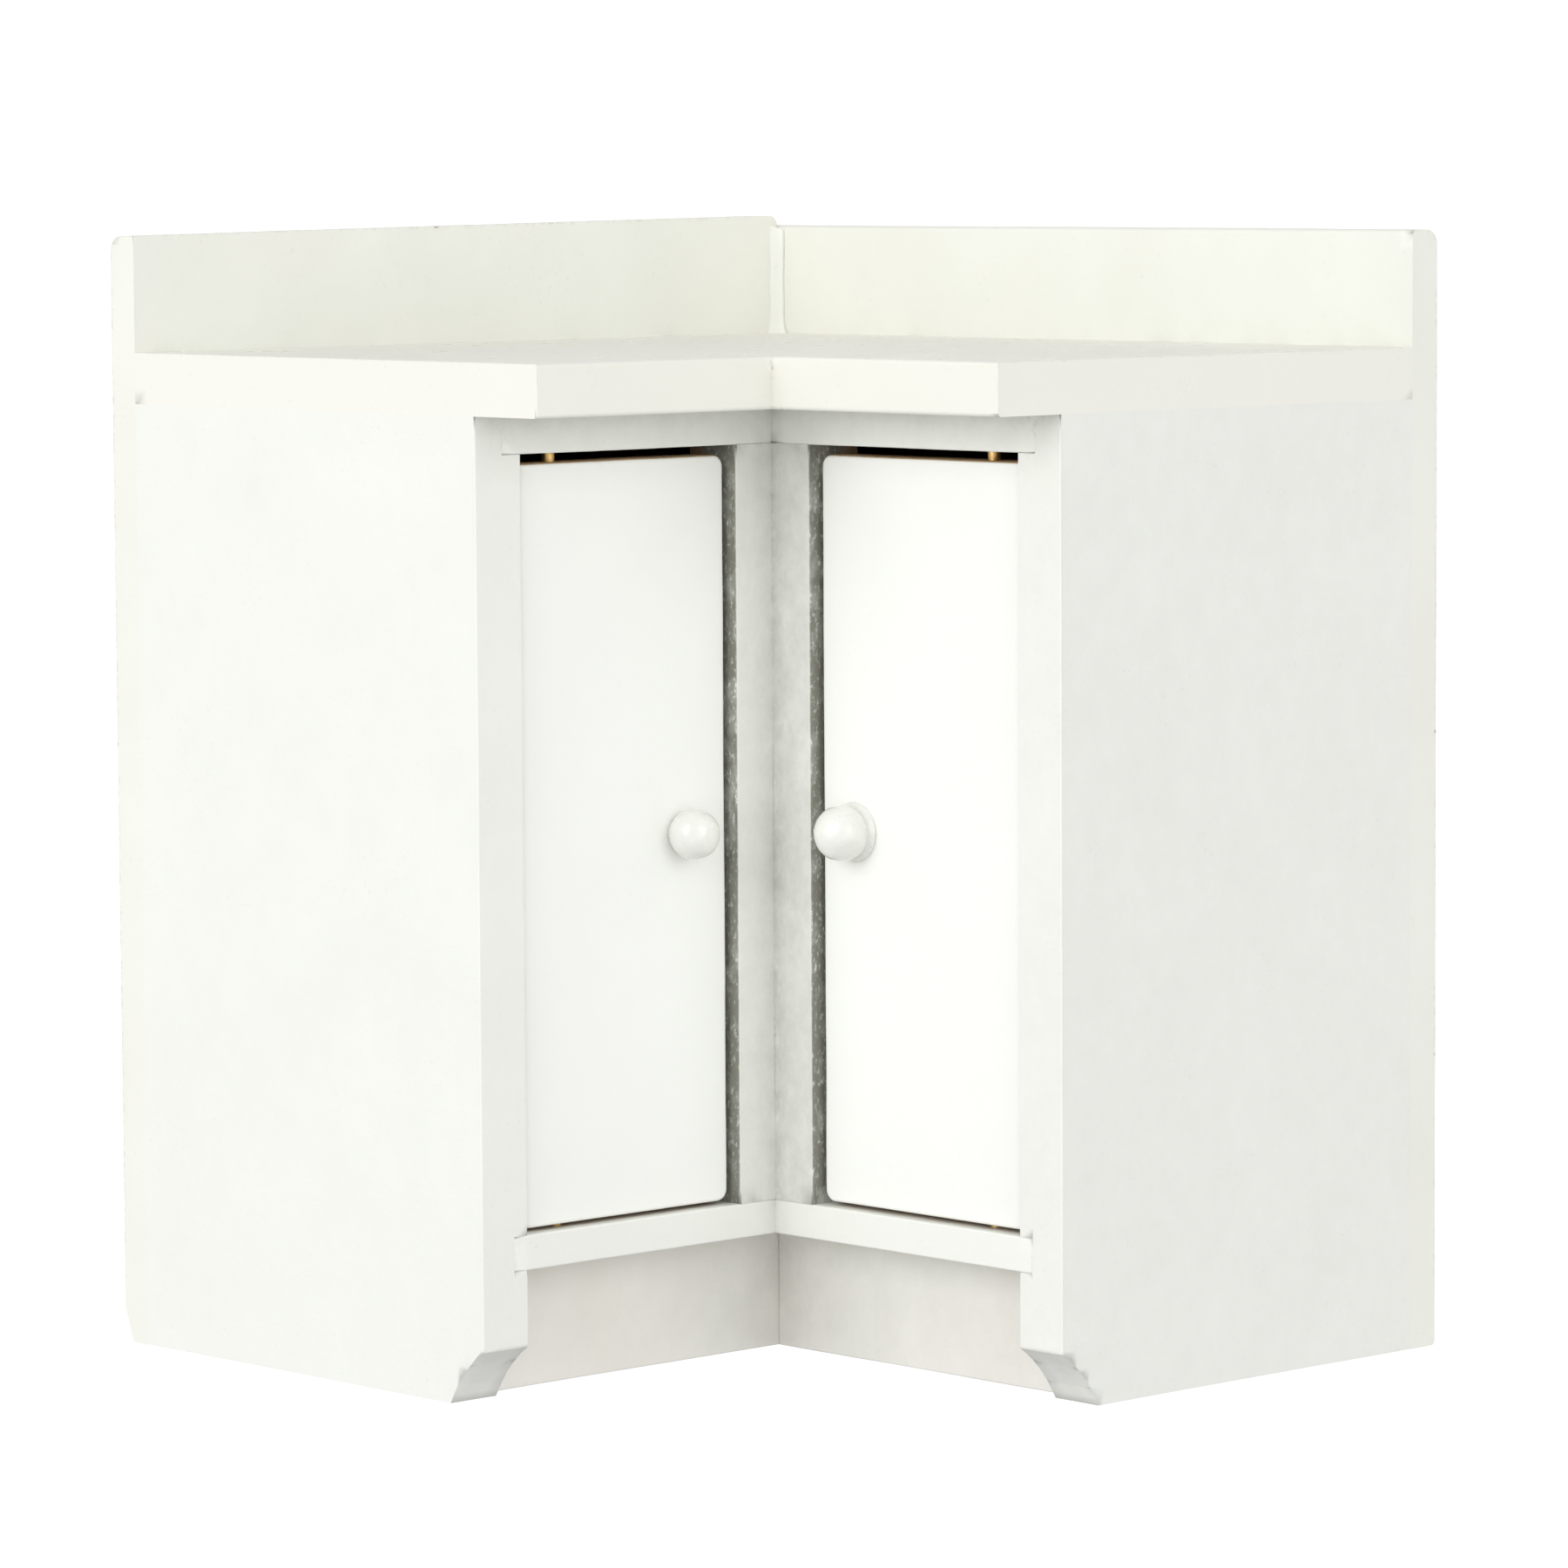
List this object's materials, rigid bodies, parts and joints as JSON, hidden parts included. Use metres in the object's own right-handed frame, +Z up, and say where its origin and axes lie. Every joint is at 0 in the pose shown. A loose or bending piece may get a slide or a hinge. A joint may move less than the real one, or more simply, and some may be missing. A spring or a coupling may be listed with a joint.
{
  "type": "dolls house corner base cabinet",
  "caption": "Miniature L-shaped kitchen corner base cabinet with overhanging worktop, low upstand along both walls, and pin-hinged slab doors with ball knobs at the inner corner.",
  "frame": {"origin": "middle of the footprint's bounding rectangle, on the surface the unit stands on", "axes": "+Z up; the right arm's back lies on the back wall at +Y and runs along +X; the left arm's back lies on the left wall at -X and runs along -Y; the two fronts face +X and -Y, and the inner corner opens towards +X -Y"},
  "size_m": [0.0724, 0.0694, 0.0856],
  "materials": {
    "carcass_paint": "white satin paint on wood, fine orange-peel texture",
    "worktop_paint": "white semi-gloss paint on wood",
    "back_board_paint": "white satin paint on wood",
    "toe_kick_paint": "thin white paint with warm wood showing through",
    "door_paint": "smooth white satin paint, bare wood on the top and bottom edges",
    "filler_bead": "painted filler",
    "knob_enamel": "gloss white enamel on turned wood",
    "pin_brass": "plain brass pin"
  },
  "bodies": {
    "carcass": {"worktop": "worktop_paint", "floor_board": "carcass_paint", "left_back_board": "back_board_paint", "right_back_board": "back_board_paint", "upstand_corner_bead": "filler_bead", "left_end_panel": "carcass_paint", "right_end_panel": "carcass_paint", "left_top_rail": "carcass_paint", "right_top_rail": "carcass_paint", "left_inner_stile": "carcass_paint", "right_inner_stile": "carcass_paint", "left_toe_kick": "toe_kick_paint", "right_toe_kick": "toe_kick_paint", "left_top_hinge_pin": "pin_brass", "left_bottom_hinge_pin": "pin_brass", "right_top_hinge_pin": "pin_brass", "right_bottom_hinge_pin": "pin_brass"},
    "left_door": {"left_door": "door_paint", "left_knob": "knob_enamel"},
    "right_door": {"right_door": "door_paint", "right_knob": "knob_enamel"}
  },
  "joints": [
    {"name": "left_door_hinge", "type": "hinge", "parent": "carcass", "child": "left_door", "pos_m": [0.00365, -0.02575, 0.0406], "axis": [0, 0, -1], "range_deg": [0, 130]},
    {"name": "right_door_hinge", "type": "hinge", "parent": "carcass", "child": "right_door", "pos_m": [0.02725, -0.00335, 0.0406], "axis": [0, 0, 1], "range_deg": [0, 130]}
  ]
}
